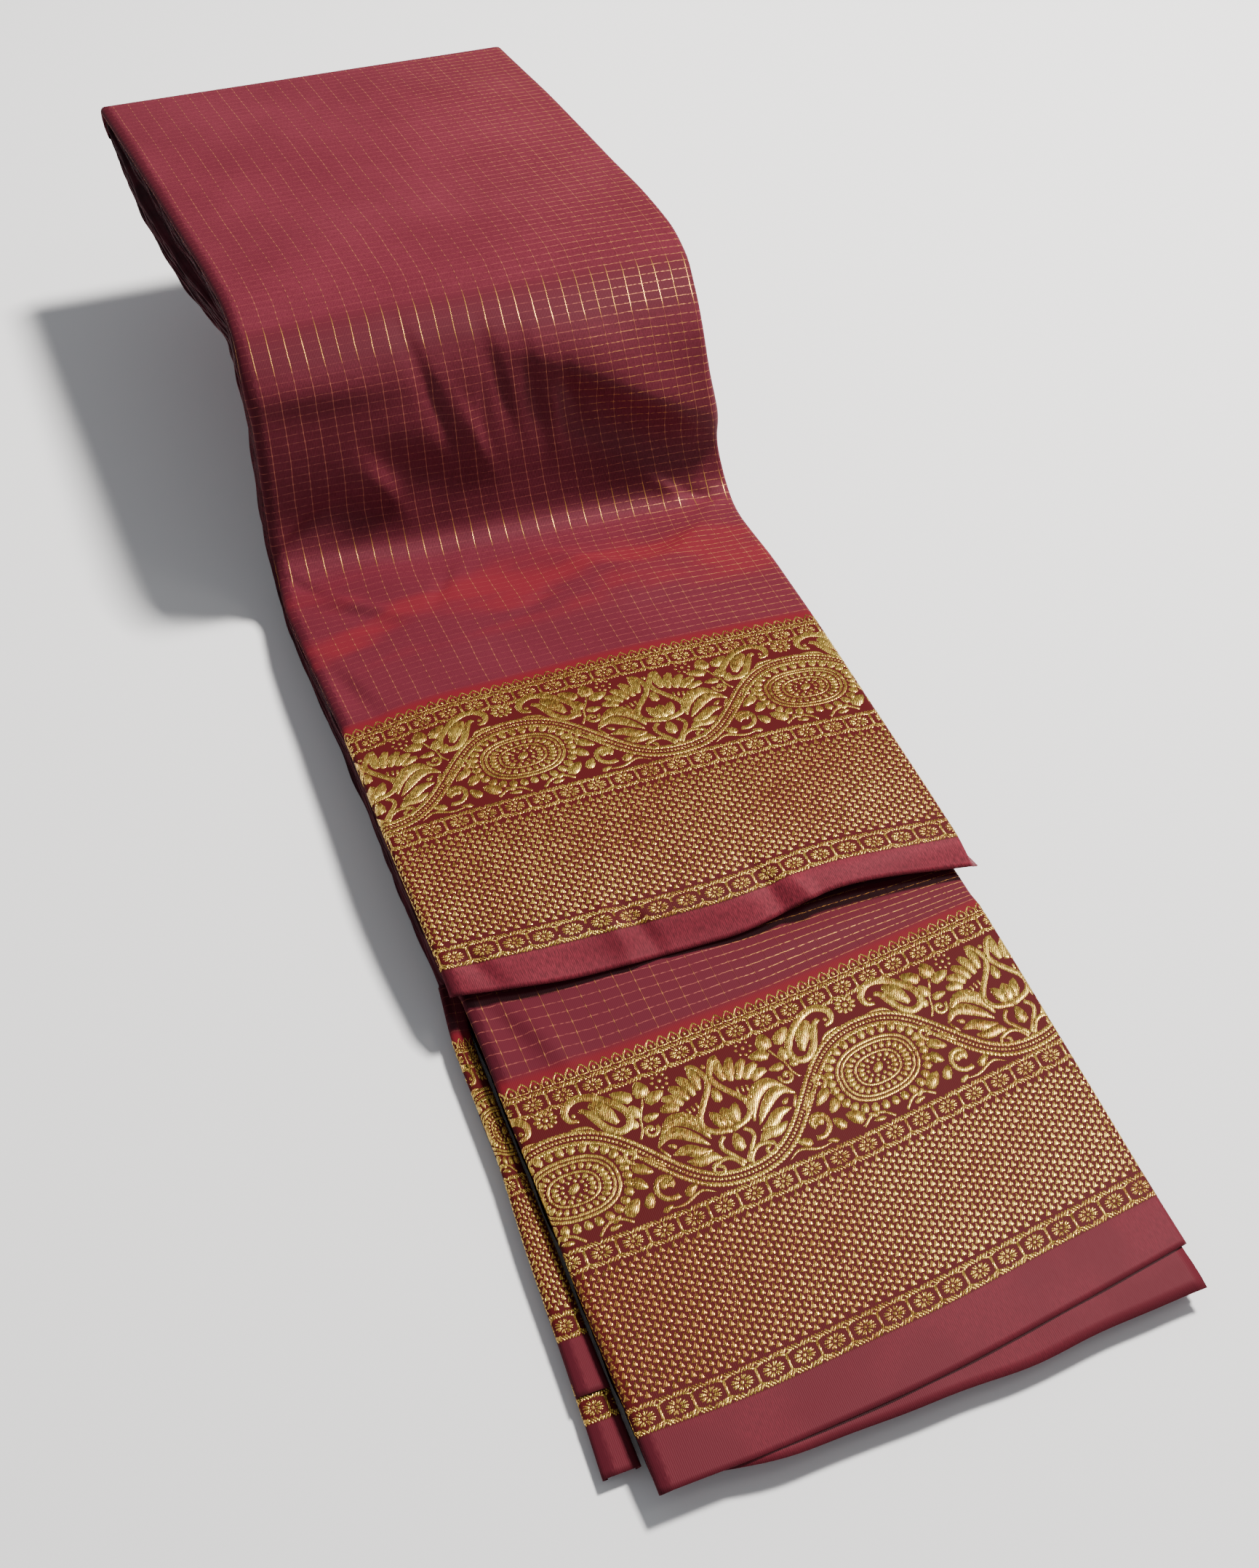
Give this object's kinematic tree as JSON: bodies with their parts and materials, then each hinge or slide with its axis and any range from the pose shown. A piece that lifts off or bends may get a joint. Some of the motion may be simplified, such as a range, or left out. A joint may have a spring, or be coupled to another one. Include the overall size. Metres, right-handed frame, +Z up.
{
  "type": "folded sari",
  "caption": "Silk sari pleated into a narrow strip and folded in half, lying over a step, with the woven gold borders showing at its free ends.",
  "frame": {"origin": "under the middle of the whole folded sari, on the surface that its lower stretch lies on", "axes": "+Z up, +Y along the strip towards the far fold on the raised stretch, +X across the strip to the right as seen from the near free ends"},
  "size_m": [0.1958, 0.6062, 0.1023],
  "materials": {
    "checked_silk": "maroon silk with a fine gold check and a soft sheen",
    "layered_silk": "edges of many folded silk layers",
    "plain_selvedge": "plain maroon satin weave",
    "gold_border": "gold zari brocade on maroon silk"
  },
  "bodies": {
    "root": {"hidden_layers": "layered_silk", "left_layers": "layered_silk", "far_fold": "checked_silk", "upper_raised": "checked_silk", "upper_fall": "checked_silk", "upper_low": "checked_silk", "upper_border": "gold_border", "upper_selvedge": "plain_selvedge", "lower_body": "checked_silk", "lower_border": "gold_border", "lower_selvedge": "plain_selvedge", "lower_next_selvedge": "plain_selvedge", "left_border": "gold_border", "left_selvedge": "plain_selvedge", "left_next_border": "gold_border", "left_next_selvedge": "plain_selvedge"}
  },
  "joints": []
}
